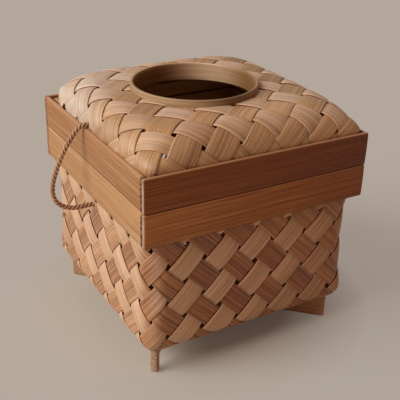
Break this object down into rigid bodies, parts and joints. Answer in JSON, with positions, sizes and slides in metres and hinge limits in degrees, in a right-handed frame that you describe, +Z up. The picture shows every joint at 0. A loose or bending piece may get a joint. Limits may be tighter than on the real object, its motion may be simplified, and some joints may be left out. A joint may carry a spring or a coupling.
{
  "type": "tissue box",
  "caption": "Square woven bamboo tissue box on crossed runners, with slatted rims, a pillow-shaped woven lid with a round collar, and a twisted cord that ties lid to base.",
  "frame": {"origin": "on the floor, under the middle of the box", "axes": "+Z up; front is -Y; +X to the right seen from the front; the cord is on the -X side"},
  "size_m": [0.1847, 0.16, 0.1666],
  "materials": {
    "weave": "matte bamboo strip with fine lengthwise grain",
    "rim_slats": "satin oiled bamboo slat",
    "inner_slats": "plain planed bamboo",
    "collar": "satin bent bamboo",
    "runners": "plain sawn bamboo",
    "cord": "twisted plant fibre"
  },
  "bodies": {
    "base": {"base_basket": "weave", "base_rim_front": "rim_slats", "base_rim_right": "rim_slats", "base_rim_back": "rim_slats", "base_rim_left": "rim_slats", "base_lip_front": "inner_slats", "base_lip_right": "inner_slats", "base_lip_back": "inner_slats", "base_lip_left": "inner_slats", "runner_a": "runners", "runner_b": "runners", "cord": "cord", "base_knot": "cord"},
    "lid": {"lid_weave": "weave", "lid_rim_front": "rim_slats", "lid_rim_right": "rim_slats", "lid_rim_back": "rim_slats", "lid_rim_left": "rim_slats", "lid_liner_front": "inner_slats", "lid_liner_right": "inner_slats", "lid_liner_back": "inner_slats", "lid_liner_left": "inner_slats", "collar": "collar", "lid_knot": "cord"}
  },
  "joints": [
    {"name": "lid_hinge", "type": "hinge", "parent": "base", "child": "lid", "pos_m": [-0.08, 0, 0.1212], "axis": [0, -1, 0], "range_deg": [0, 110], "deforming": ["cord"]}
  ]
}
